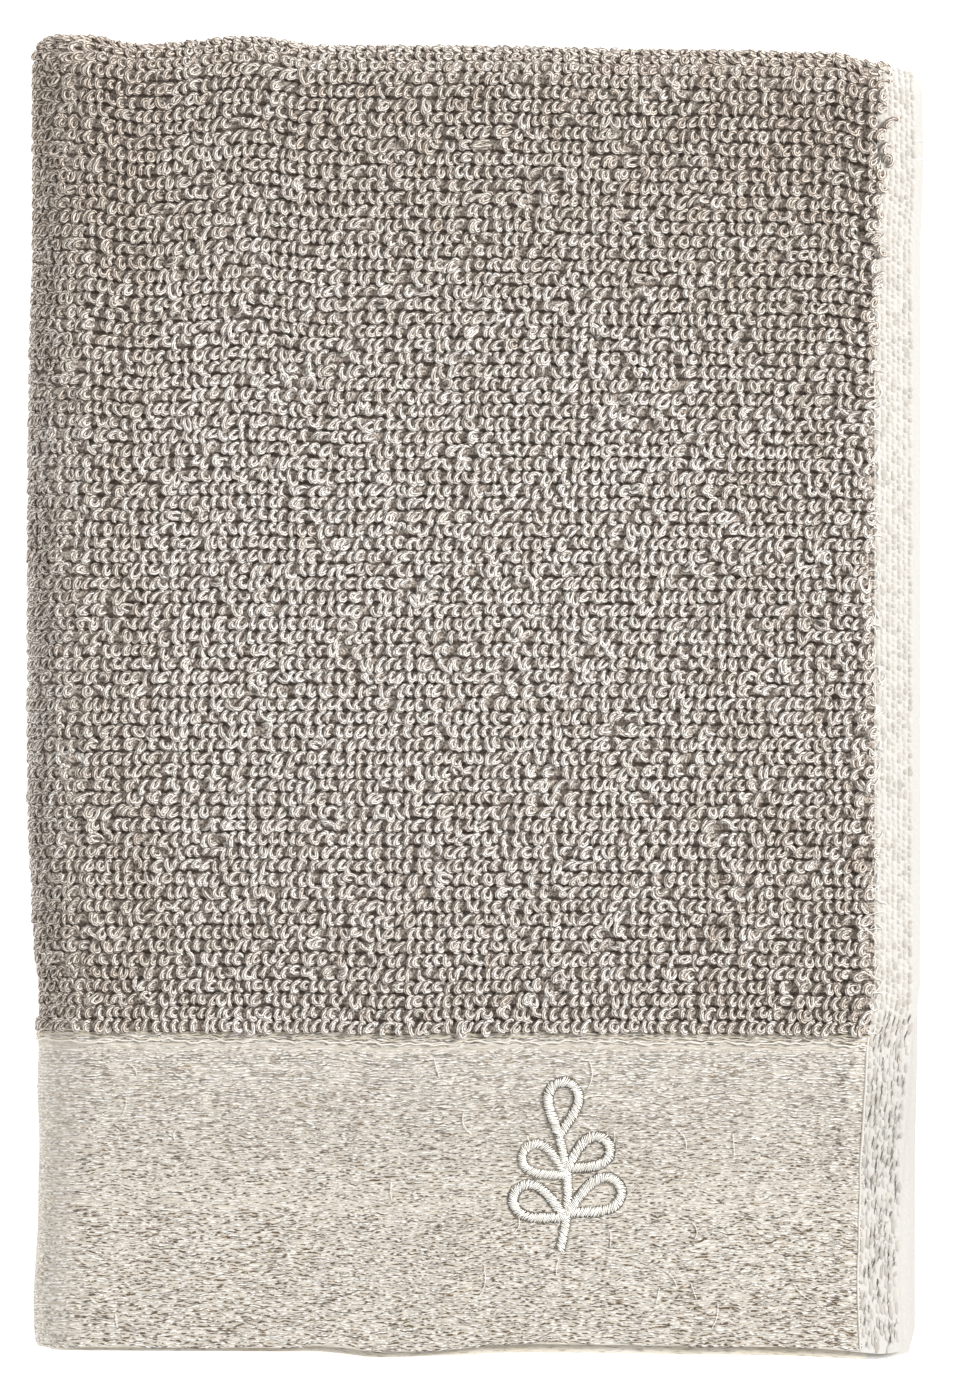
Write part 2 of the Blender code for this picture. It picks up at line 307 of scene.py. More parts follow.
# %% Any point on or above the flat cloth, folded
def by_part(place, starts):
    """For each part that holds any places: its name, which they are, how far in they lie."""
    number = np.searchsorted([*starts.values()][1:], place)
    for k, (name, start) in enumerate(starts.items()):
        here = number == k
        if here.any():
            yield name, here, place[here] - start


def from_free_side(u):
    """Distance to the nearer selvedge in the two outer spans. Elsewhere it is far."""
    outer_span = (u < U_START["right turn"]) | (u > U_START["top"])
    return np.where(outer_span, np.minimum(u, FLAT_WIDTH - u).clip(0), FLAT_WIDTH)


def fold(u, v, lift):
    """Points u across and v along the cloth, lifted off the middle of the sheet."""
    u, v, lift = (np.asarray(a, float).ravel() for a in np.broadcast_arrays(u, v, lift))
    from_selvedge = from_free_side(u)
    x, y, z, height, slip, inward = (np.zeros_like(v) for _ in range(6))
    for name, here, distance in by_part(v, V_START):
        placed = lay_in_stack(name, distance, lift[here], from_selvedge[here])
        y[here], height[here], slip[here] = placed
    for name, here, distance in by_part(u, U_START):
        placed = carry_across(name, distance, height[here], stack_height(y[here]))
        x[here], z[here] = placed
        inward[here] = {"bottom": 1, "top": -1}.get(name, 0)
    y = y - read_table(TOP_END_REACH, x) * smooth(1 - v / END_REACH_RAMP)
    x = x + inward * slip * (1 - smooth(from_selvedge / DRAWN_WIDTH))
    return settle(x, y, z)


def half_sheet(u, v):
    """Half the thickness of the solid's sheet at u, v."""
    shape = np.broadcast(u, v).shape
    u, v = (np.asarray(a, float).ravel() for a in np.broadcast_arrays(u, v))
    from_selvedge, thick = from_free_side(u), np.zeros_like(v)
    for name, here, distance in by_part(v, V_START):
        y = Y_LOWER - TOP_END_SHORT + distance if name == "layer 3" else Y_UPPER - distance
        thick[here] = half_thickness(name, y, from_selvedge[here])
    return thick.reshape(shape)


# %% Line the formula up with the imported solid
u, v = np.meshgrid(np.linspace(0, FLAT_WIDTH, 241), np.linspace(0, FLAT_LENGTH, 401))
outline = np.concatenate([fold(u, v, side * half_sheet(u, v)) for side in (1, -1)])
low, high = outline.min(0), outline.max(0)
SHIFT = np.array((cad_low + cad_high) / 2) - (low + high) / 2
SHIFT[2] = 0.0
print("formula's box, mm:", (1000 * (low + SHIFT)).round(2), (1000 * (high + SHIFT)).round(2))

# %% [markdown]
# ## Camera, floor and light
# The towel was seen from straight above through a long lens, against white. The camera is
# set first, so that each step can be looked at. Its frame is as tall at the towel's top as
# the photograph shows: the folded length fills most of it.

# %% Camera straight above
METRES_PER_PIXEL = 0.1908e-3          # at the towel's top
PICTURE_HEIGHT = 1394
TOWEL_MIDDLE_PIXEL = (473.75, 696.5)
PICTURE_MIDDLE_PIXEL = (480.0, 697.0)
CAMERA_DISTANCE = 3.00
SENSOR = 36.0

camera_data = bpy.data.cameras.new("camera")
camera_data.sensor_width = SENSOR
camera_data.lens = SENSOR * CAMERA_DISTANCE / (PICTURE_HEIGHT * METRES_PER_PIXEL)
camera_data.clip_start, camera_data.clip_end = 0.05, 20.0
camera = bpy.data.objects.new("camera", camera_data)
camera.location = (
    (PICTURE_MIDDLE_PIXEL[0] - TOWEL_MIDDLE_PIXEL[0]) * METRES_PER_PIXEL,
    (TOWEL_MIDDLE_PIXEL[1] - PICTURE_MIDDLE_PIXEL[1]) * METRES_PER_PIXEL,
    cad_high.z + CAMERA_DISTANCE,
)
scene.collection.objects.link(camera)
scene.camera = camera
print("lens", round(camera_data.lens, 1), "mm")

# %% Soft light from the right, and a bright surround
def add_light(name, place, size, watts):
    """A square soft box that faces the towel."""
    data = bpy.data.lights.new(name, "AREA")
    data.size, data.energy = size, watts
    lamp = bpy.data.objects.new(name, data)
    lamp.location = place
    lamp.rotation_euler = (Vector((0, 0, 0)) - Vector(place)).to_track_quat("-Z", "Y").to_euler()
    scene.collection.objects.link(lamp)


add_light("key", (1.80, 0.67, 1.49), size=0.72, watts=77.0)
add_light("fill", (-1.60, -0.40, 0.72), size=1.00, watts=12.0)
world = bpy.data.worlds.new("surround")
scene.world = world
world.use_nodes = True
surround = world.node_tree.nodes["Background"].inputs
surround["Color"].default_value = (1.0, 1.0, 1.0, 1.0)
surround["Strength"].default_value = 0.50
scene.view_settings.view_transform = "Standard"
scene.view_settings.look = "None"

# %% [markdown]
# ## Shader sums
# A shader's sums read best as sums. `Value` wraps an output socket and adds the Math nodes
# that an expression asks for; `Finish` makes any other node from its type, its settings and
# what its sockets get.

# %% Two small helpers for materials
def reckoning(operation, swapped=False):
    """A method that adds one Math node."""
    def method(self, other):
        values = (other, self) if swapped else (self, other)
        return self.finish.node("Math", {"operation": operation}, values)
    return method


class Value:
    """A shader's output socket that can be reckoned with."""

    __add__ = __radd__ = reckoning("ADD")
    __mul__ = __rmul__ = reckoning("MULTIPLY")
    __sub__, __rsub__ = reckoning("SUBTRACT"), reckoning("SUBTRACT", swapped=True)
    __truediv__ = reckoning("DIVIDE")

    def __init__(self, finish, socket):
        self.finish, self.socket = finish, socket

    def step(self, low, high):
        """0 below low, 1 above high, soft between."""
        sockets = {"Value": self, "From Min": low, "From Max": high}
        return self.finish.node("MapRange", {"interpolation_type": "SMOOTHSTEP"}, sockets)


class Finish:
    """A material's node tree, from its base shader outwards."""

    def __init__(self, name, roughness, sheen=0.0, specular=0.2):
        self.material = bpy.data.materials.new(name)
        self.material.use_nodes = True
        self.tree = self.material.node_tree
        self.shader = self.tree.nodes["Principled BSDF"]
        even = {"Roughness": roughness, "Specular IOR Level": specular, "Sheen Weight": sheen}
        for socket, value in even.items():
            self.shader.inputs[socket].default_value = value

    def node(self, kind, settings=None, sockets=(), output=0):
        """Adds a node and returns one of its outputs as a Value."""
        made = self.tree.nodes.new("ShaderNode" + kind)
        for name, value in (settings or {}).items():
            setattr(made, name, value)
        pairs = sockets.items() if isinstance(sockets, dict) else enumerate(sockets)
        for key, value in pairs:
            self.plug(made.inputs[key], value)
        return Value(self, made.outputs[output])

    def plug(self, socket, value):
        """Links a Value, or sets the socket to a number, colour or vector."""
        if isinstance(value, Value):
            self.tree.links.new(value.socket, socket)
        else:
            socket.default_value = value

    def parts(self, vector):
        """The three numbers of a vector."""
        x = self.node("SeparateXYZ", sockets=[vector])
        return [Value(self, x.socket.node.outputs[axis]) for axis in "XYZ"]

    def attribute(self, name):
        return self.node("Attribute", {"attribute_name": name}, output="Fac")

    def uv(self, name):
        """The two numbers of a UV map."""
        return self.parts(self.node("UVMap", {"uv_map": name}))[:2]

    def fold_back(self, value):
        """Up from 0 to 0.5 and down again, once in every 1."""
        return self.node("Math", {"operation": "PINGPONG"}, [value, 0.5])

    def vector(self, x, y, z=0.0):
        return self.node("CombineXYZ", sockets=[x, y, z])

    def noise(self, place, detail=2.0, roughness=0.5, scale=1.0):
        sockets = {"Vector": place, "Scale": scale, "Detail": detail, "Roughness": roughness}
        return self.node("TexNoise", sockets=sockets)

    def mix(self, share, low, high):
        """One colour into another by a share from 0 to 1."""
        made = self.node("Mix", {"data_type": "RGBA"}, output=2)
        inputs = made.socket.node.inputs
        for socket, value in zip((inputs[0], inputs[6], inputs[7]), (share, low, high)):
            self.plug(socket, value)
        return made

    def finish(self, colour, bump=None, strength=0.5, distance=0.0002):
        """Plugs what varies into the base shader and hands back the material."""
        self.plug(self.shader.inputs["Base Color"], colour)
        if bump is not None:
            sockets = {"Strength": strength, "Distance": distance, "Height": bump}
            self.plug(self.shader.inputs["Normal"], self.node("Bump", sockets=sockets))
        return self.material


def rgb(red, green, blue):
    """A colour given as on a screen, from 0 to 255, as the shader's linear light."""
    return (*(((c / 255 + 0.055) / 1.055) ** 2.4 for c in (red, green, blue)), 1.0)


# %% The floor
bpy.ops.object.select_all(action="DESELECT")
bpy.ops.mesh.primitive_plane_add(size=6.0, location=(0, 0, -0.0004))
floor = bpy.context.object
floor.name = "floor"
paper = Finish("floor_paper", roughness=0.9, specular=0.1)
paper.shader.inputs["Emission Color"].default_value = (1.0, 1.0, 1.0, 1.0)
paper.shader.inputs["Emission Strength"].default_value = 0.60
floor.data.materials.append(paper.finish(rgb(244, 243, 241)))

# %% [markdown]
# ## Meshes from arrays
# The cloth and its threads have many thousand points that follow rules, so their meshes are
# filled straight from numpy arrays: points, faces, and the numbers that the materials read.

# %% One helper for all the meshes made of arrays
def piece_from_arrays(name, points, faces, material, uv, numbers=None):
    """A mesh object with its place in its mesh. uv holds pairs for each corner of each face."""
    mesh = bpy.data.meshes.new(name)
    faces = np.asarray(faces)
    sides = faces.shape[1]
    mesh.vertices.add(len(points))
    mesh.vertices.foreach_set("co", np.asarray(points, np.float32).ravel())
    mesh.loops.add(faces.size)
    mesh.loops.foreach_set("vertex_index", faces.astype(np.int32).ravel())
    mesh.polygons.add(len(faces))
    mesh.polygons.foreach_set("loop_start", np.arange(0, faces.size, sides, dtype=np.int32))
    mesh.update(calc_edges=True)
    for label, pairs in uv.items():
        layer = mesh.uv_layers.new(name=label, do_init=False)
        layer.uv.foreach_set("vector", np.asarray(pairs, np.float32).ravel())
    for label, values in (numbers or {}).items():
        layer = mesh.attributes.new(label, "FLOAT", "POINT")
        layer.data.foreach_set("value", np.asarray(values, np.float32).ravel())
    mesh.validate()
    mesh.shade_smooth()
    mesh.materials.append(material)
    item = bpy.data.objects.new(name, mesh)
    scene.collection.objects.link(item)
    return item


def grid_faces(rows, columns, start=0):
    """Quads of a grid whose points are numbered row by row."""
    corner = start + np.arange(rows * columns).reshape(rows, columns)
    quads = [corner[:-1, :-1], corner[1:, :-1], corner[1:, 1:], corner[:-1, 1:]]
    return np.stack(quads, axis=-1).reshape(-1, 4)


# %% [markdown]
# ## The woven sheet
# The sheet itself carries everything. Under the pile that shows, its face lies lower, so
# that the loops fill the room up to the solid's surface. It is one closed skin: a shown
# face, a hidden face and a rim round all four sides.

# %% Stations of the sheet's grid
ROW_PITCH, COLUMN_PITCH = 0.002576, 0.001861     # of the loops
PILE_DEPTH = 0.0012           # how deep the ground lies under the tips of the loops


def stations_to(*runs):
    """Places from 0 on, in runs of even steps. Each run is (its end, about its step)."""
    places, start = [], 0.0
    for end, step in runs:
        count = max(1, round((end - start) / step))
        places.append(np.linspace(start, end, count, endpoint=False))
        start = end
    return np.concatenate([*places, [start]])


PILE_U = (U_START["top"], FLAT_WIDTH - SELVEDGE_WIDTH)
PILE_V = (BAND_LENGTH, V_START["large turn"])
THIRD = (PILE_V[1] - PILE_V[0]) / 3
EVEN_ROW_PITCH = THIRD / round(THIRD / ROW_PITCH)
WIDE_STEP, SMALL_STEP = WIDE_TURN * math.pi / 14, SMALL_TURN * math.pi / 8
FULL_PILE_U = SELVEDGE_WIDTH + PILE_RAMP          # where the pile has its full thickness
FULL_PILE_V = BAND_LENGTH + PILE_RAMP
u_grid = stations_to(
    (SELVEDGE_WIDTH, 0.0022), (FULL_PILE_U, 0.001), (U_START["right turn"], 0.009),
    (U_START["middle"], WIDE_STEP), (U_START["left turn"], 0.009), (U_START["top"], WIDE_STEP),
    (FLAT_WIDTH - FULL_PILE_U, 0.0045), (FLAT_WIDTH - SELVEDGE_WIDTH, 0.001),
    (FLAT_WIDTH, 0.0022),
)
v_grid = stations_to(
    (0.004, 0.0007), (BAND_LENGTH, 0.0035), (FULL_PILE_V, 0.001), (V_START["large turn"], 0.006),
    (V_START["layer 0"], LARGE_TURN * math.pi / 10), (V_START["lower turn"], 0.008),
    (V_START["layer 1"], SMALL_STEP), (V_START["small turn"], 0.008),
    (V_START["layer 2"], SMALL_STEP), (FLAT_LENGTH - FULL_PILE_V, 0.008),
    (FLAT_LENGTH - BAND_LENGTH, 0.001), (FLAT_LENGTH, 0.005),
)
print("sheet grid", len(u_grid), "x", len(v_grid))


def between(place, start, end, edge=0.006):
    """1 between two places, with a soft edge outside them."""
    return smooth((place - start) / edge + 1) * smooth((end - place) / edge + 1)


def shows(u, v):
    """1 where the towel's shown face can be seen once it is folded."""
    large, layer_0, lower, layer_1 = (
        V_START[name] for name in ("large turn", "layer 0", "lower turn", "layer 1")
    )
    above = between(v, -1, large) * between(u, U_START["left turn"], 1)
    below = between(v, layer_0, lower) * between(u, -1, U_START["middle"])
    upper_end = between(v, large, layer_0, 0.003)
    lower_end = between(v, lower, layer_1, 0.002)
    return np.maximum.reduce([above, below, upper_end, lower_end])


def pile_share(u, v):
    """1 in the pile, 0 in band and selvedge."""
    across = np.minimum(u, FLAT_WIDTH - u) - SELVEDGE_WIDTH
    along = np.minimum(v, FLAT_LENGTH - v) - BAND_LENGTH
    return smooth(across / PILE_RAMP) * smooth(along / PILE_RAMP)


def ground_lift(u, v):
    """Height of the sheet's shown face over the sheet's middle."""
    return half_sheet(u, v) - PILE_DEPTH * shows(u, v) * pile_share(u, v)


# %% Materials of the sheet: pile ground, linen-look band and selvedge
def ground_finish():
    """The bed between the loops: its own grain, kept darker than the yarn as painted shade of the
    gaps.
    """
    f = Finish("pile_ground", roughness=0.95, specular=0.1)
    u, v = f.uv("cloth")
    grain = f.noise(f.vector(u * 2600, v * 2200), 3.0)
    bed = f.mix(grain.step(0.38, 0.62), rgb(126, 114, 103), rgb(217, 206, 195))
    row = f.fold_back((v - BAND_LENGTH) / EVEN_ROW_PITCH)
    # Painted shadow: a dark line between each two rows of loops, where one row shades the ground.
    colour = f.mix((1 - row.step(0.10, 0.24)) * 0.8, bed, rgb(72, 60, 51))
    return f.finish(colour, bump=grain, strength=0.7, distance=0.0004)


def linen_finish():
    """Flat-woven linen and cotton with flecks, slubs and a soft marl along the weft."""
    f = Finish("band_linen", roughness=0.85, sheen=0.15, specular=0.2)
    u, v = f.uv("cloth")
    drift = f.noise(f.vector(u * 120, v * 260))
    flecks = f.noise(f.vector(u * 420, v * 3600), 3.0, 0.6)
    slubs = f.noise(f.vector(u * 160, v * 1500 + 40))
    cloud = f.noise(f.vector(u * 60, v * 75 + 9))
    pale = f.mix(cloud.step(0.35, 0.7), rgb(232, 226, 214), rgb(218, 208, 190))
    fleck = f.mix(flecks.step(0.50, 0.68), pale, rgb(170, 160, 145))
    woven = f.mix(slubs.step(0.62, 0.72) * 0.55, fleck, rgb(186, 168, 140))
    shown_end = f.mix(flecks.step(0.4, 0.7), rgb(184, 176, 163), rgb(224, 217, 205))
    colour = f.mix(v.step(0.45, 0.55), shown_end, woven)
    return f.finish(colour, bump=flecks * 0.6 + drift * 0.4, strength=0.7, distance=0.00015)


def selvedge_finish():
    """Off-white plain weave."""
    f = Finish("selvedge_cotton", roughness=0.8, sheen=0.1, specular=0.25)
    u, v = f.uv("cloth")
    grain = f.noise(f.vector(u * 1900, v * 1600))
    colour = f.mix(grain, rgb(200, 197, 191), rgb(215, 212, 207))
    return f.finish(colour, bump=grain, strength=0.4, distance=0.0001)


ground, band, selvedge = ground_finish(), linen_finish(), selvedge_finish()

# %% The sheet's two faces and its rim
def make_sheet():
    u, v = np.meshgrid(u_grid, v_grid, indexing="ij")
    shown = fold(u, v, ground_lift(u, v)) + SHIFT
    hidden = fold(u, v, -half_sheet(u, v)) + SHIFT
    rows, columns = u.shape
    up = grid_faces(rows, columns)
    down = grid_faces(rows, columns, rows * columns)[:, ::-1]
    corner = np.arange(rows * columns).reshape(rows, columns)
    rim = np.concatenate([corner[0], corner[1:-1, -1], corner[-1, ::-1], corner[-2:0:-1, 0]])
    after = np.roll(rim, -1)
    side = np.stack([rim, after, after + rows * columns, rim + rows * columns], axis=-1)
    faces = np.concatenate([up, down, side])
    flat = np.tile(np.stack([u.ravel(), v.ravel()], axis=-1), (2, 1))
    points = np.concatenate([shown, hidden])
    cloth = piece_from_arrays("cloth", points, faces, ground, {"cloth": flat[faces]})
    middle = flat[faces].mean(axis=1)
    across = np.minimum(middle[:, 0], FLAT_WIDTH - middle[:, 0])
    along = np.minimum(middle[:, 1], FLAT_LENGTH - middle[:, 1])
    kind = np.where(across < SELVEDGE_WIDTH, 2, np.where(along < BAND_LENGTH, 1, 0))
    cloth.data.materials.append(band)
    cloth.data.materials.append(selvedge)
    cloth.data.polygons.foreach_set("material_index", kind.astype(np.int32))
    cloth.data.set_sharp_from_angle(angle=math.radians(50))
    return cloth


cloth = make_sheet()
print("sheet has", len(cloth.data.polygons), "faces")

# %% [markdown]
# ## The pile
# A loop of the pile is a short length of two-coloured yarn that comes up out of the ground,
# curls over and goes down again. From above it is a small open ring, like a letter c. One
# loop is modelled by spinning a small ring of points through most of a circle. Thousands
# of copies of it are then varied, laid out on the flat cloth and carried through the fold.

# %% One loop, modelled
YARN_RADIUS = 0.00050
LOOP_ACROSS, LOOP_ALONG = 0.00072, 0.00104     # middle radii of the open ring
LOOP_SWEEP = math.radians(330)
LOOP_HEIGHT = 0.00115


def take_shape():
    """Points and faces of what was just modelled; the object itself goes.

    Blender may list the faces of a spun shape in another order each time. They are sorted
    here, so every run gives the same mesh.
    """
    made = bpy.context.object
    points = np.array([v.co for v in made.data.vertices])
    faces = np.array(sorted(list(p.vertices) for p in made.data.polygons))
    bpy.data.objects.remove(made)
    return points, faces


def model_loop(sides, steps):
    """An open ring of yarn: its faces, and for each point its place along the yarn, how far
    out and up it lies from the yarn's middle, and its place round the yarn."""
    bpy.ops.object.select_all(action="DESELECT")
    bpy.ops.mesh.primitive_circle_add(
        vertices=sides, radius=YARN_RADIUS,
        location=(LOOP_ACROSS, 0, 0), rotation=(math.pi / 2, 0, 0),
    )
    bpy.ops.object.transform_apply(location=True, rotation=True, scale=True)
    bpy.ops.object.mode_set(mode="EDIT")
    bpy.ops.mesh.select_all(action="SELECT")
    bpy.ops.mesh.spin(steps=steps, angle=-LOOP_SWEEP, center=(0, 0, 0), axis=(0, 0, 1))
    bpy.ops.object.mode_set(mode="OBJECT")
    points, faces = take_shape()
    along = np.mod(np.arctan2(points[:, 1], points[:, 0]) + 1e-4, 2 * math.pi) / LOOP_SWEEP
    out = np.hypot(points[:, 0], points[:, 1]) - LOOP_ACROSS
    around = np.mod(np.arctan2(points[:, 2], out) / (2 * math.pi), 1.0)
    return faces, along, out, points[:, 2], around


def corner_places(faces, along, around):
    """Places along and round the yarn for each face's corners, with no jump at the seam."""
    pairs = np.stack([along[faces], around[faces]], axis=-1)
    seam = (pairs[..., 1].max(axis=1) - pairs[..., 1].min(axis=1)) > 0.5
    low = pairs[..., 1] < 0.5
    pairs[..., 1] += np.where(seam[:, None] & low, 1.0, 0.0)
    return pairs


def atlas(pairs, count):
    """A cell of its own in a square map for each copy, which keeps them apart in a bake."""
    side = math.ceil(math.sqrt(count))
    cell = np.stack([np.arange(count) % side, np.arange(count) // side], axis=-1)
    low, high = pairs.reshape(-1, 2).min(axis=0), pairs.reshape(-1, 2).max(axis=0)
    within = 0.06 + 0.88 * (pairs - low) / np.maximum(high - low, 1e-9)
    return (cell[:, None, None, :] + within[None]) / side


def lay_copies(name, points, faces, pairs, material, numbers):
    """All the copies of a small shape as one mesh. numbers holds one value for each copy."""
    count = len(numbers["phase"])
    step, sides = len(points) // count, faces.shape[1]
    all_faces = (faces[None] + step * np.arange(count)[:, None, None]).reshape(-1, sides)
    uv = {"yarn": np.broadcast_to(pairs, (count, *pairs.shape)), "OFBake": atlas(pairs, count)}
    numbers = {label: np.repeat(values, step) for label, values in numbers.items()}
    piece = piece_from_arrays(name, points, all_faces, material, uv, numbers)
    print(name, "has", count, "copies and", (sides - 2) * len(all_faces), "triangles")
    return piece


faces, along, *_ = model_loop(4, 8)
print("one loop:", len(along), "points,", len(faces), "faces")

# %% The yarn: a cream and a brown ply twisted together
def yarn_finish():
    f = Finish("marl_yarn", roughness=0.8, sheen=0.2, specular=0.2)
    u, v = f.uv("yarn")
    phase, tone = f.attribute("phase"), f.attribute("tone")
    ply = f.fold_back(f.node("Math", {"operation": "FRACT"}, [v * 4 + u * 2.6 + phase]))
    cream = f.mix(tone, rgb(237, 225, 211), rgb(255, 250, 243))
    brown = f.mix(tone, rgb(184, 168, 154), rgb(254, 247, 238))
    # Painted shade: a thin dark line where the two plies meet, in the groove between them.
    brown_with_groove_shade = f.mix(ply.step(0.06, 0.13), rgb(58, 46, 38), brown)
    twisted = f.mix(ply.step(0.22, 0.30), brown_with_groove_shade, cream)
    # Painted shade: thin dark streaks that stand for the crevices between and inside the loops.
    crevice_shade = f.noise(f.vector(u * 8, v * 23, phase * 37), 3.0)
    colour = f.mix(crevice_shade.step(0.53, 0.56) * 0.88, twisted, rgb(78, 64, 54))
    return f.finish(colour, bump=ply.step(0.0, 0.2), strength=0.6, distance=0.0002)


yarn = yarn_finish()

# %% Laying loops out on the flat cloth
STRAY_SHARE, BIG_SHARE = 0.035, 0.025     # of loops that lie any way round, or are larger
RIPPLES = (                               # (waves across, waves along, phase) of the unrest
    (410, 120, 0.4), (-260, 330, 1.9), (150, -520, 3.1), (760, 480, 5.2), (-640, 700, 0.9),
)


def spaced(start, end, pitch):
    """The middles of even cells of about this pitch."""
    count = max(1, round((end - start) / pitch))
    return start + (np.arange(count) + 0.5) * (end - start) / count


def loop_places(patches):
    """(u, v, stretch u, stretch v) of each loop, as four columns."""
    places = []
    for u_low, u_high, v_low, v_high, stretch_u, stretch_v in patches:
        across = spaced(u_low, u_high, COLUMN_PITCH / stretch_u)
        along = spaced(v_low, v_high, ROW_PITCH / stretch_v)
        u, v = (grid.ravel() for grid in np.meshgrid(across, along))
        rows = [u, v, np.full_like(u, stretch_u), np.full_like(u, stretch_v)]
        places.append(np.stack(rows, axis=-1))
    places = np.concatenate(places)
    return (places[:, k, None] for k in range(4))


def loop_tone(draw, u, v, patchy):
    """How pale each loop is: palest mid-towel, darker towards the upper fold, the band and the
    right side, and on the left fold as painted shade.
    """
    from_middle = (v - 0.145) / 0.09
    tone = draw.normal(0.88, 0.18, u.shape) + 0.05 * patchy
    tone = tone - 0.60 * smooth(from_middle - 0.2) - 0.33 * smooth(-from_middle - 0.2)
    tone = tone - 0.24 * smooth((u - 0.44) / 0.04)
    # Painted shade: loops on the left fold and beside it are darker, as that side turns away from
    # the light.
    tone = tone - 0.38 * smooth(1.5 - (u - U_START["top"]) / 0.014)
    return tone.clip(0, 1)


def lay_pile(name, patches, sides, steps, seed, height=LOOP_HEIGHT, tilt=0.42):
    """Loops over patches of the flat cloth: (u from, u to, v from, v to, stretch u, stretch v).

    On the outside of a turn the cloth is longer than on the flat, so loops stand closer there.
    """
    draw = np.random.default_rng(seed)
    faces, along, out, up, around = model_loop(sides, steps)
    u0, v0, stretch_u, stretch_v = loop_places(patches)
    count = len(u0)

    def vary(middle, spread_by, low, high):
        return draw.normal(middle, spread_by, (count, 1)).clip(low, high)

    # Beside the selvedge the pile's border is frayed, and it creeps outwards up the towel.
    by_selvedge = 1 - smooth((FLAT_WIDTH - SELVEDGE_WIDTH - u0) / 0.0035)
    u0 = u0 + by_selvedge * draw.normal(0, 0.00065, (count, 1))
    up_the_towel = smooth((v0 - V_START["large turn"] + 0.075) / 0.075)
    u0 = u0 + (0.0024 * up_the_towel - 0.0002) * smooth((u0 - FLAT_WIDTH + 0.035) / 0.025)

    # How each loop is turned and shifted. In some patches of the pile they are less even.
    patchy = sum(np.sin(u0 * a + v0 * b + phase) for a, b, phase in RIPPLES)
    unrest = 1 + 1.3 * smooth(patchy / 2)
    turn = math.radians(-6) + unrest * vary(0, math.radians(9), -9, 9)
    u0 = u0 + unrest * vary(0, 0.00020, -1, 1)
    stray = draw.random((count, 1)) < STRAY_SHARE
    turn = np.where(stray, draw.uniform(-math.pi, math.pi, (count, 1)), turn)

    # The open ring of each loop: how far it runs round, its size, and how its end curls in.
    sweep = vary(math.radians(290), math.radians(45), math.radians(180), math.radians(440))
    size = vary(1.0, 0.08, 0.75, 1.3) * np.where(draw.random((count, 1)) < BIG_SHARE, 1.35, 1.0)
    oval = vary(1.0, 0.12, 0.7, 1.35)
    tall = height * vary(1.0, 0.16, 0.55, 1.35)
    angle = along[None] * sweep + vary(math.radians(42), math.radians(14), 0, 2)
    inward = ((along[None] * sweep - math.radians(225)) / math.radians(200)).clip(0, 1)
    ring = 1 - 0.58 * smooth(inward)
    y = np.sin(angle) * (LOOP_ALONG * ring * size / oval**0.5 + out)
    x = np.cos(angle) * (LOOP_ACROSS * ring * size * oval + out)
    x = x + vary(0.18, 0.22, -0.4, 0.7) * y
    z = up + tall * (1 - np.abs(2 * along - 1) ** 4) - tilt * y - 0.0001

    # Turned, leaning a little, and out onto the cloth.
    def astray():
        return unrest * (vary(0, 0.10, -0.5, 0.5) * z + vary(0, 0.00006, -1, 1))

    u = u0 + (x * np.cos(turn) - y * np.sin(turn) + astray()) / stretch_u
    v = v0 + (x * np.sin(turn) + y * np.cos(turn) + astray()) / stretch_v
    folded = fold(u, v, ground_lift(u0, v0) + z) + SHIFT
    folded[:, 2] = np.maximum(folded[:, 2], 0.0001)

    tone = loop_tone(draw, u0[:, 0], v0[:, 0], patchy[:, 0])
    numbers = {"tone": tone, "phase": draw.random(count)}
    return lay_copies(name, folded, faces, corner_places(faces, along, around), yarn, numbers)


# %% The pile that shows from above, in three stretches
upper_pile = [
    lay_pile(
        f"pile_upper_{k + 1}",
        [(*PILE_U, PILE_V[0] + THIRD * k, PILE_V[0] + THIRD * (k + 1), 1.0, 1.0)],
        sides=4, steps=8, seed=11 + k,
    )
    for k in range(3)
]

# %% [markdown]
# The bends of the folded towel carry pile too. Loops there are seen smaller and turned away,
# so most of them are modelled with fewer faces. The loops underneath are seen least, and
# they also stand a little further apart, which saves triangles.

# %% The pile round the bends
SIDE_STRETCH, END_STRETCH, LOWER_STRETCH = 1.95, 1.28, 1.83
ALL_U = (SELVEDGE_WIDTH, FLAT_WIDTH - SELVEDGE_WIDTH)


def across_parts(v_low, v_high, stretch_v):
    """One patch of pile for each part of the width."""
    ends = np.clip([*U_START.values(), FLAT_WIDTH], *ALL_U)
    return [(low, high, v_low, v_high, 1.0, stretch_v) for low, high in zip(ends, ends[1:])]


def lay_bend(name, patches, seed, sides=3, steps=6):
    """Pile on the outside of a bend: lower, and lying flatter, which keeps the outline smooth."""
    return lay_pile(name, patches, sides, steps, seed, height=0.0005, tilt=0.10)


LEFT_BEND = (U_START["left turn"], U_START["top"])
RIGHT_BEND = (U_START["right turn"], U_START["middle"])
UNDER_V = (V_START["layer 0"], V_START["lower turn"])
upper_end = across_parts(V_START["large turn"], V_START["layer 0"], END_STRETCH)
lower_end = across_parts(V_START["lower turn"], V_START["layer 1"], LOWER_STRETCH)
side_pile = [
    lay_bend("pile_left_bend", [(*LEFT_BEND, *PILE_V, SIDE_STRETCH, 1.0)], 21, sides=4, steps=8),
    lay_bend("pile_right_bend", [(*RIGHT_BEND, *UNDER_V, SIDE_STRETCH, 1.0)], 22),
    lay_bend("pile_upper_end", upper_end[3:], 23, sides=4, steps=8),
    lay_bend("pile_upper_end_below", upper_end[:3], 25),
    lay_bend("pile_lower_end", lower_end, 24),
]

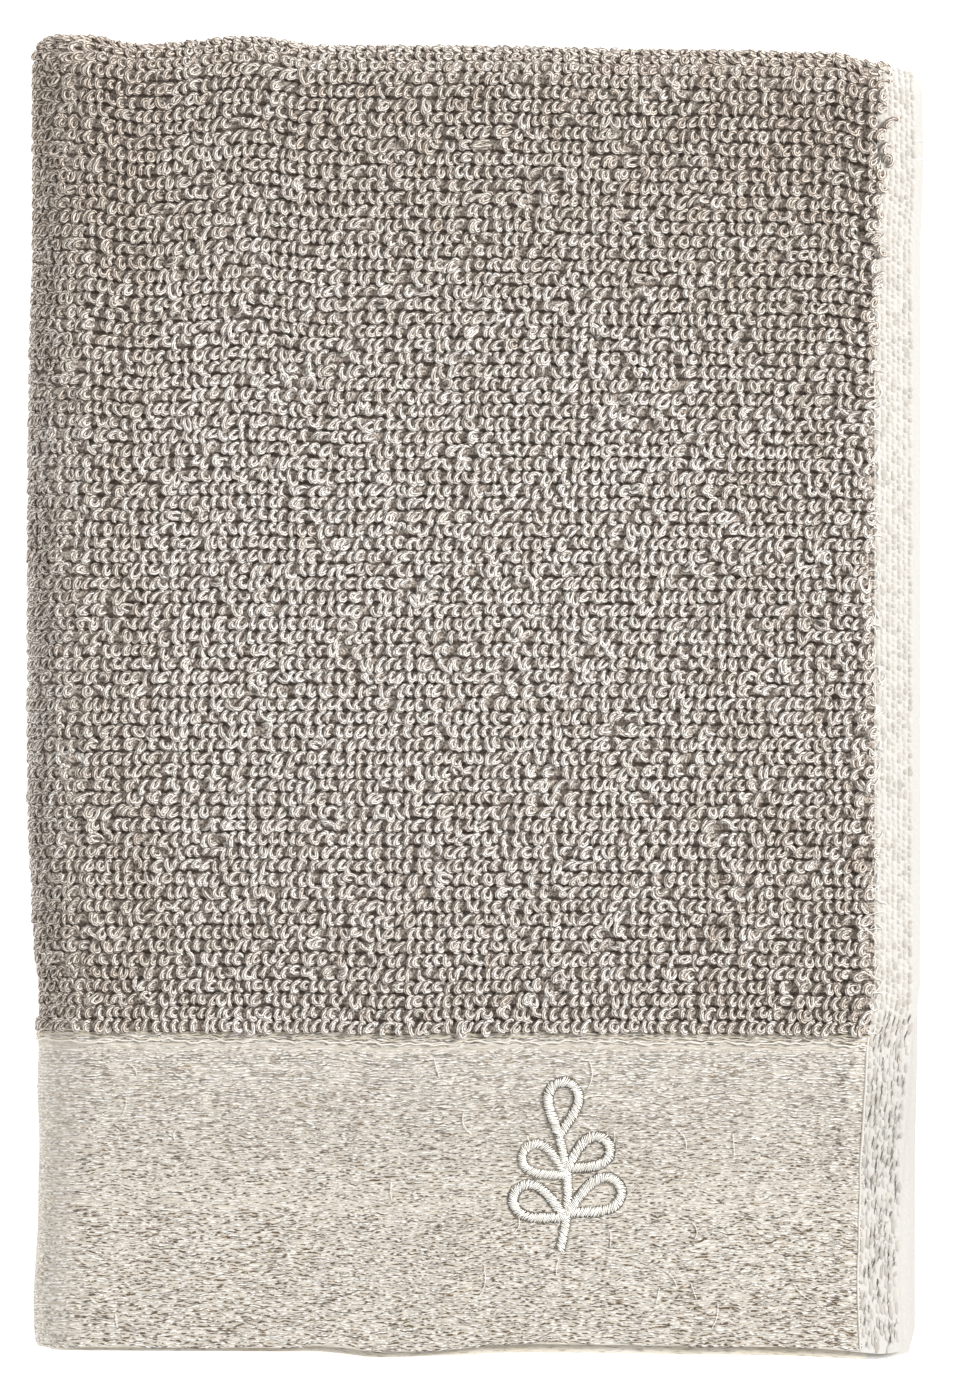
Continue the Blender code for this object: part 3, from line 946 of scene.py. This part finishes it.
# %% The pile underneath, pressed flat by the towel's weight
under_patch = (SELVEDGE_WIDTH, U_START["right turn"], *UNDER_V, 0.86, 0.86)
under_pile = lay_pile("pile_under", [under_patch], sides=3, steps=3, seed=31, height=0.0005)

# %% [markdown]
# ## Threads
# Band, selvedge and embroidery are made of single threads that lie on the sheet. Each one
# follows a line over the flat cloth. `lay_threads` puts a small ring of points round every
# station of each line and joins the rings into tubes, many lines at once.

# %% Tubes along lines over the cloth
def lay_threads(name, u, v, lift, radius, material, sides=3, flat=1.0, seed=0):
    """Threads whose middles pass through (u, v, lift): one row of the arrays is one thread."""
    draw = np.random.default_rng(seed)
    u, v, lift, radius = np.broadcast_arrays(u, v, lift, radius)
    count, stations = u.shape
    run_u, run_v = np.gradient(u, axis=1), np.gradient(v, axis=1)
    length = np.hypot(run_u, run_v) + 1e-12
    side_u, side_v = -run_v / length, run_u / length
    angle = np.arange(sides) * 2 * math.pi / sides + math.pi / 2
    wide = radius[..., None] * np.cos(angle)
    ring_u = u[..., None] + side_u[..., None] * wide
    ring_v = v[..., None] + side_v[..., None] * wide
    ring_lift = lift[..., None] + radius[..., None] * np.sin(angle) * flat
    points = fold(ring_u, ring_v, ring_lift) + SHIFT
    corner = np.arange(count * stations * sides).reshape(count, stations, sides)
    near, far = corner[:, :-1], corner[:, 1:]
    quads = np.stack([near, np.roll(near, -1, 2), np.roll(far, -1, 2), far], axis=-1)
    faces = quads.reshape(-1, 4)
    travelled = np.concatenate([np.zeros((count, 1)), np.cumsum(length[:, 1:], axis=1)], axis=1)
    low, high = travelled[:, :-1], travelled[:, 1:]
    pairs = np.zeros((count, stations - 1, sides, 4, 2))
    pairs[..., 0] = np.stack([low, low, high, high], axis=-1)[:, :, None, :]
    pairs[..., 1] = (np.arange(sides)[:, None] + np.array([0, 1, 1, 0])) / sides
    numbers = {"phase": np.repeat(draw.random(count), stations * sides)}
    piece = piece_from_arrays(name, points, faces, material, {"yarn": pairs}, numbers)
    print(name, "has", count, "threads and", 2 * len(faces), "triangles")
    return piece


def wander(draw, count, stations, waves, size):
    """Smooth random lines: sums of sine waves with their own phases, one row for each line."""
    place = np.linspace(0, 1, stations)
    total = np.zeros((count, stations))
    for wave in waves:
        phase = draw.random((count, 1)) * 2 * math.pi
        rate = wave * draw.uniform(0.75, 1.25, (count, 1))
        total += np.sin(2 * math.pi * rate * place + phase)
    return size * total / math.sqrt(len(waves))


def short_lines(middle_u, middle_v, length, angle, bow, stations):
    """Short bowed lines: (u, v, share of the bow), one row for each line."""
    place = np.linspace(-0.5, 0.5, stations)
    bulge = 1 - 4 * place**2
    u = middle_u + length * place * np.cos(angle) - bow * bulge * np.sin(angle)
    v = middle_v + length * place * np.sin(angle) + bow * bulge * np.cos(angle)
    return u, v, bulge


# %% [markdown]
# ## The flat-woven band
# The band at the end of the cloth is linen and cotton, flat-woven. One modelled thread
# stands for the wefts of about 0.6 mm of cloth. The threads wander a little and are of
# uneven thickness, and their colour breaks up into short dashes of painted shade between
# the threads and pale strokes. Near the pile and over the left bend the colour carries
# painted light.

# %% Weft threads of the band
def linen_thread_finish():
    """Bleached linen: pale, with short wavy dashes of painted shade between the threads, white
    strokes and a few tan slubs; painted light near the pile and over the left bend.
    """
    f = Finish("linen_thread", roughness=0.8, sheen=0.15, specular=0.2)
    place = f.node("TexCoord", output="Object")
    x, y, z = f.parts(place)
    ripple = f.noise(f.vector(x * 190, y * 240, z * 190))
    wavy = y + ripple * 0.0022
    slubs = f.noise(f.vector(x * 260, wavy * 900 + 30, z * 260))
    cloud = f.noise(place, 3.0, 0.6, scale=62.0)
    along, round_it = f.uv("yarn")
    side = f.fold_back(round_it)
    patchy = f.noise(f.vector(along * 520, f.attribute("phase") * 91), 3.0, 0.6)
    specks = f.noise(f.vector(x * 950, wavy * 3300, z * 950), 2.0, 0.6)
    # bend is the band over the left fold. It is painted lighter there, with fewer dark specks and
    # dashes: painted light where the cloth turns from the key light.
    bend = 1 - x.step(-0.0790, -0.0735)
    # Painted shade: short dashes along the sides of each thread, in the valley beside the next.
    valley_shade = side.step(0.10, 0.16) * patchy.step(0.42, 0.52)
    pale = f.mix(cloud.step(0.38, 0.68), rgb(186, 182, 175), rgb(169, 161, 150))
    # Painted light: lighter near the pile, where the band slopes down away from the key light.
    painted_light = f.mix(y.step(-0.088, -0.070) * 0.65, pale, rgb(212, 208, 201))
    painted_light = f.mix(bend * 0.8, painted_light, rgb(214, 208, 199))
    tan = f.mix(slubs.step(0.56, 0.68) * 0.5, painted_light, rgb(176, 152, 120))
    lit = f.mix(specks.step(0.53, 0.57), tan, rgb(232, 229, 223))
    dark = (1 - specks.step(0.43, 0.46)) * (1 - y.step(-0.095, -0.070) * 0.35) * (1 - bend * 0.4)
    speckled = f.mix(dark, lit, rgb(96, 80, 62))
    colour = f.mix(valley_shade * 0.45 * (1 - bend * 0.6), speckled, rgb(98, 84, 67))
    return f.finish(colour, bump=patchy, strength=0.5, distance=0.0001)


linen_thread = linen_thread_finish()
WEFT_PITCH = 0.00062


def lay_band():
    draw = np.random.default_rng(41)
    v0 = np.arange(WEFT_PITCH / 2, BAND_LENGTH - 0.0001, WEFT_PITCH)
    bend = u_grid[(u_grid >= U_START["left turn"] - 1e-9) & (u_grid < U_START["top"] - 1e-9)]
    u = np.concatenate([bend, np.linspace(U_START["top"], PILE_U[1] + 0.0004, 150)])
    count, stations = len(v0), len(u)
    shared = wander(draw, 1, stations, (3, 7, 13), 0.00030)
    own = wander(draw, count, stations, (23, 41, 60), 0.00016)
    v = v0[:, None] + shared * np.cos(v0[:, None] * 220) + own
    v = v.clip(0.0001, BAND_LENGTH)
    radius = 0.00041 * (1 + wander(draw, count, stations, (15, 27, 38), 0.17)).clip(0.6, 1.25)
    lift = half_sheet(u[None], v) - 0.00002 + wander(draw, count, stations, (9, 24), 0.00003)
    return lay_threads("band_weft", u[None], v, lift, radius, linen_thread, flat=0.30, seed=42)


band_weft = lay_band()

# %% Thicker cotton wefts where the pile begins
def cotton_finish(name, low, high):
    """Off-white cotton thread."""
    f = Finish(name, roughness=0.75, sheen=0.15, specular=0.3)
    u, v = f.uv("yarn")
    phase = f.attribute("phase")
    twist = f.noise(f.vector(u * 900, phase * 40, v))
    shade = (twist * 0.6 + phase * 0.7).step(0.15, 1.0)
    return f.finish(f.mix(shade, low, high), bump=twist, strength=0.4, distance=0.0001)


edge_thread = cotton_finish("edge_thread", rgb(172, 158, 134), rgb(234, 228, 217))


def lay_band_edge():
    draw = np.random.default_rng(43)
    u = np.linspace(U_START["left turn"], PILE_U[1], 150)
    count, stations = 4, len(u)
    v0 = BAND_LENGTH - np.array([-0.0002, 0.0004, 0.0010, 0.0017])
    v = v0[:, None] + wander(draw, count, stations, (9, 23, 41), 0.00034)
    radius = 0.00017 * (1 + wander(draw, count, stations, (19, 47), 0.25))
    lift = half_sheet(u[None], np.full_like(v, BAND_LENGTH)) + 0.00002
    lift = lift + wander(draw, count, stations, (17, 29), 0.00012)
    return lay_threads("band_edge", u[None], v, lift, radius, edge_thread, sides=4, seed=44)


band_edge = lay_band_edge()

# %% Stray fibres on the band
fibre = cotton_finish("stray_fibre", rgb(242, 238, 230), rgb(255, 252, 246))


def lay_fibres():
    draw = np.random.default_rng(45)
    rows = (26, 1)
    u0 = draw.uniform(U_START["top"], FLAT_WIDTH - 0.016, rows)
    v0 = draw.uniform(0.004, BAND_LENGTH - 0.006, rows)
    length = draw.uniform(0.002, 0.0055, rows)
    angle = draw.normal(math.radians(100), math.radians(32), rows)
    u, v, bulge = short_lines(u0, v0, length, angle, draw.uniform(-0.0009, 0.0009, rows), 9)
    lift = half_sheet(u, v) + 0.00022 + 0.0001 * bulge
    return lay_threads("stray_fibres", u, v, lift, 0.00008, fibre, sides=3, seed=46)


stray_fibres = lay_fibres()

# %% [markdown]
# ## The selvedge
# The cotton strip at the side is a plain weave of thicker thread. Seen from above it is a
# wall of small bricks. One brick is the upper half of an icosphere, pulled long; copies
# stand in columns, each column half a brick further along than the last. Beside the band
# the threads float over more wefts, so the bricks there are longer, with dark slits between
# them, whose dark is painted shade of the gaps. Short pale threads cross the line between
# pile and selvedge, and one has come loose near the towel's upper corner.

# %% Bricks of the selvedge
selvedge_thread = cotton_finish("selvedge_thread", rgb(180, 174, 165), rgb(206, 201, 193))
FLOAT_PITCH = 0.00102                 # between the long threads beside the band


def model_brick():
    """The upper half of an icosphere."""
    bpy.ops.object.select_all(action="DESELECT")
    bpy.ops.mesh.primitive_ico_sphere_add(subdivisions=1, radius=1.0)
    points, faces = take_shape()
    return points, faces[points[faces][:, :, 2].mean(axis=1) > 0]


def lay_bricks(name, u0, v0, wide, long, lean, high, seed):
    """Bricks at (u0, v0) with half widths and half lengths of their own, and about one height."""
    draw = np.random.default_rng(seed)
    points, faces = model_brick()
    columns = np.broadcast_arrays(u0, v0, wide, long, lean)
    u0, v0, wide, long, lean = (np.ravel(column)[:, None] for column in columns)
    high = high * draw.normal(1, 0.2, u0.shape)
    y = points[None, :, 1] * long
    u = u0 + points[None, :, 0] * wide + lean * y
    u, v = u.clip(0, FLAT_WIDTH), (v0 + y).clip(0, FLAT_LENGTH)
    lift = half_sheet(u0, v0) - 0.00001 + points[None, :, 2] * high
    folded = fold(u, v, np.broadcast_to(lift, u.shape)) + SHIFT
    pairs = points[:, [1, 0]][faces] * 0.0006
    numbers = {"phase": draw.random(len(u0))}
    return lay_copies(name, folded, faces, pairs, selvedge_thread, numbers)


def wall(draw, columns, rows, edge, start, pitch_u, pitch_v, uneven_u, uneven_v, slip=0):
    """Middles of bricks in columns, each column half a brick on; slip shifts whole columns."""
    c, r = np.meshgrid(np.arange(columns), np.arange(rows))
    u = FLAT_WIDTH - edge - (c + 0.5) * pitch_u + draw.normal(0, uneven_u, c.shape)
    slipped = draw.uniform(0, slip, (1, columns)) if slip else 0
    v = start + (r + slipped + 0.5 * (c % 2)) * pitch_v
    return u, v + draw.normal(0, uneven_v, c.shape)


def lay_pile_selvedge():
    draw, pitch_v = np.random.default_rng(51), 0.00127
    rows = math.ceil((V_START["layer 0"] - BAND_LENGTH) / pitch_v)
    u, v = wall(draw, 7, rows, 0.0014, BAND_LENGTH, 0.00104, pitch_v, 0.00008, 0.00012)
    wide = 0.00052 * draw.normal(1, 0.12, u.shape)
    long = 0.00072 * draw.normal(1, 0.16, u.shape)
    return lay_bricks("selvedge_by_pile", u, v, wide, long, 0.0, 0.00018, 52)


def lay_band_selvedge():
    draw = np.random.default_rng(53)
    u, v = wall(draw, 8, 26, 0.0003, 0.0010, FLOAT_PITCH, 0.0023, 0.00010, 0.0003, slip=0.9)
    wide = 0.00047 * draw.normal(1, 0.16, u.shape)
    long = 0.00128 * draw.normal(1, 0.25, u.shape)
    lean = draw.normal(0, 0.07, u.shape)
    return lay_bricks("selvedge_by_band", u, v, wide, long, lean, 0.00020, 54)


def lay_selvedge_border():
    """The raised pale thread between band and selvedge."""
    draw = np.random.default_rng(55)
    v = np.linspace(0.0005, BAND_LENGTH, 40)
    u = PILE_U[1] + wander(draw, 1, len(v), (4, 7), 0.00006)
    radius = 0.00027 * (1 + wander(draw, 1, len(v), (9, 14), 0.1))
    lift = half_sheet(u, np.broadcast_to(v, u.shape)) + 0.00004
    return lay_threads(
        "selvedge_border", u, v[None], lift, radius, selvedge_thread, sides=5, seed=56
    )


def lay_slits():
    """Short dark threads between the long threads beside the band: painted shade of the gaps."""
    draw = np.random.default_rng(57)
    count, stations = 250, 5
    place = np.linspace(-0.5, 0.5, stations)
    column = draw.integers(1, 8, (count, 1))
    u = FLAT_WIDTH - 0.0003 - column * FLOAT_PITCH + draw.normal(0, 0.00012, (count, 1))
    v = draw.uniform(0.001, BAND_LENGTH + 0.004, (count, 1))
    v = v + draw.uniform(0.0007, 0.0021, (count, 1)) * place
    u = u + draw.normal(0, 0.05, (count, 1)) * 0.002 * place + 0.00010 * np.sin(7 * place)
    radius = draw.uniform(0.00004, 0.00009, (count, 1)) * (1 - 0.6 * np.abs(2 * place))
    lift = half_sheet(u, v) + 0.00016
    return lay_threads("selvedge_slits", u, v, lift, radius, slit, seed=58)


def lay_fray():
    """Short pale threads across the line between pile and selvedge."""
    draw = np.random.default_rng(59)
    rows = (170, 1)
    angle = draw.normal(math.radians(60), math.radians(50), rows)
    length = draw.uniform(0.0010, 0.0030, rows)
    bow = draw.normal(0, 0.0005, rows)
    u0 = PILE_U[1] + draw.normal(0, 0.0005, rows)
    u, v, bulge = short_lines(u0, draw.uniform(*PILE_V, rows), length, angle, bow, 7)
    lift = half_sheet(u, v) + 0.0003 + 0.0003 * bulge
    return lay_threads("selvedge_fray", u, v, lift, 0.00011, fibre, seed=60)


def lay_edge_curl():
    """One thread that has come out of the selvedge near the towel's upper corner."""
    turn = np.linspace(-0.3, math.pi + 0.3, 14)[None]
    u = FLAT_WIDTH - 0.0008 + 0.0030 * np.sin(turn)
    v = 0.2335 - 0.0019 * np.cos(turn)
    lift = half_sheet(np.minimum(u, FLAT_WIDTH), v) + 0.0004 * np.sin(turn)
    return lay_threads("selvedge_curl", u, v, lift, 0.00016, fibre, sides=4, seed=61)


# Painted shade: the slits' dark colour stands for the shade in the gaps between the floats.
slit = cotton_finish("selvedge_slit", rgb(58, 52, 44), rgb(128, 120, 109))
selvedge_pieces = [
    lay_pile_selvedge(), lay_band_selvedge(), lay_selvedge_border(),
    lay_slits(), lay_fray(), lay_edge_curl(),
]

# %% [markdown]
# ## The embroidery
# A small leaf sprig in satin stitch stands on the band. Its lines are drawn first, as points
# over the flat cloth. Stitches then lie across each line, close together and slightly
# slanted. Every stitch is a thread that comes up at one side and goes down at the other.

# %% Lines of the sprig
SPRIG_MIDDLE, SPRIG_STROKE = (0.0170, -0.0900), 0.0019
LEAVES = (                  # (share of the stem, angle, length and width in mm)
    (0.30, 155, 11.0, 6.0), (0.34, 28, 11.5, 6.0), (0.66, 150, 9.5, 5.4),
    (0.72, 32, 9.5, 5.4), (1.00, 84, 10.5, 5.8),
)


def cloth_place(x, y, u, v):
    """The place on the flat cloth that lies at (x, y) once folded, found from a first guess."""
    for _ in range(12):
        here = (fold(np.array([u]), np.array([v]), np.array([0.0])) + SHIFT)[0]
        u, v = u + (x - here[0]), v + (y - here[1])
    return u, v


def leaf_line(foot, angle, length, width, points=40):
    """A leaf's outline: from its foot round the tip and back, as (x, y) in millimetres."""
    t = np.linspace(0, 1, points)
    along = length * np.sin(math.pi * t) ** 0.85
    across = 0.5 * width * np.sin(2 * math.pi * t) * (1 + 0.15 * np.cos(2 * math.pi * t))
    turned = math.radians(angle)
    x = foot[0] + along * math.cos(turned) - across * math.sin(turned)
    y = foot[1] + along * math.sin(turned) + across * math.cos(turned)
    return np.stack([x, y], axis=-1)


def sprig_lines():
    """The stem and its leaves, as (x, y) in metres from the sprig's middle."""
    t = np.linspace(0, 1, 50)
    stem = np.stack([2.2 * np.sin(t * 2.6 + 0.3) - 1.2, -16 + 22 * t], axis=-1)
    leaves = [leaf_line(stem[int(share * 49)], *leaf) for share, *leaf in LEAVES]
    return [0.001 * line for line in (stem, *leaves)]


def walk(line, stops_to):
    """Stops on a line: how far along they lie, the line's length, and x, y and direction."""
    travelled = np.concatenate([[0], np.cumsum(np.hypot(*np.diff(line, axis=0).T))])
    stops = stops_to(travelled[-1])
    x, y = (np.interp(stops, travelled, line[:, k]) for k in (0, 1))
    return stops, travelled[-1], x, y, np.arctan2(np.gradient(y), np.gradient(x))


SPRIG_U, SPRIG_V = cloth_place(*SPRIG_MIDDLE, U_START["top"] + 0.09, 0.03)
print("the sprig stands at", round(SPRIG_U, 4), "across and", round(SPRIG_V, 4), "along")

# %% Satin stitches across the lines
satin = cotton_finish("satin_thread", rgb(244, 239, 228), rgb(255, 254, 250))
STITCH_PITCH, STITCH_SLANT, STITCH_RISE = 0.00034, 0.45, 0.00062


def satin_stitches():
    draw = np.random.default_rng(61)
    place = np.linspace(-0.5, 0.5, 6)
    dome = STITCH_RISE * np.sqrt(np.maximum(0, 1 - (2 * place) ** 2))
    rows = []
    for number, line in enumerate(sprig_lines()):
        stops, length, x, y, run = walk(
            line, lambda end: np.arange(STITCH_PITCH / 2, end, STITCH_PITCH)
        )
        slant = run + math.pi / 2 - STITCH_SLANT + draw.normal(0, 0.10, len(stops))
        width = SPRIG_STROKE * (1 + draw.normal(0, 0.09, len(stops)))
        taper = np.minimum(1, 0.45 + 900 * np.minimum(stops, length - stops))
        reach = (width * taper)[:, None] * place
        u = SPRIG_U + x[:, None] + reach * np.cos(slant)[:, None]
        v = SPRIG_V + y[:, None] + reach * np.sin(slant)[:, None]
        rows.append((u, v, np.broadcast_to(dome + 0.00012 * (number % 3), u.shape)))
    u, v, lift = (np.concatenate(part) for part in zip(*rows))
    lift = lift + half_sheet(u, v) - 0.0001 + draw.normal(0, 0.00004, (len(u), 1))
    radius = 0.00017 * draw.normal(1, 0.12, (len(u), 1))
    return lay_threads("sprig_embroidery", u, v, lift, radius, satin, seed=62)


sprig = satin_stitches()

# %% The band pulled in along the embroidery: needle holes and painted shade beside the stitches
# Its dark is partly the needle holes' own, partly painted shade beside the raised stitches.
needle_hole_and_shade = cotton_finish("needle_hole_and_shade_band", rgb(92, 84, 73), rgb(160, 151, 137))


def lay_needle_line():
    """A dark line at both sides of each line: the holes where the needle went in, and painted
    shade of the hollow beside the raised stitches.
    """
    draw = np.random.default_rng(63)
    rows = []
    for line in sprig_lines():
        _, _, x, y, run = walk(line, lambda end: np.linspace(0, end, 90))
        for side in (-1, 1):
            reach = side * (SPRIG_STROKE / 2 + draw.normal(0.00004, 0.00009, 90))
            rows.append((SPRIG_U + x - reach * np.sin(run), SPRIG_V + y + reach * np.cos(run)))
    u, v = (np.stack(part) for part in zip(*rows))
    radius = 0.00017 * draw.uniform(0.35, 1.4, u.shape)
    return lay_threads(
        "sprig_needle_line", u, v, half_sheet(u, v) + 0.00010, radius, needle_hole_and_shade, seed=64
    )


needle_line = lay_needle_line()

# %% Put the pieces under one body and hide the imported towel
pieces = [cloth, *upper_pile, *side_pile, under_pile, band_weft, band_edge, stray_fibres]
pieces += selvedge_pieces
for piece in pieces:
    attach(piece, "root")
for piece in (sprig, needle_line):
    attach(piece, "root")
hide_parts("towel")
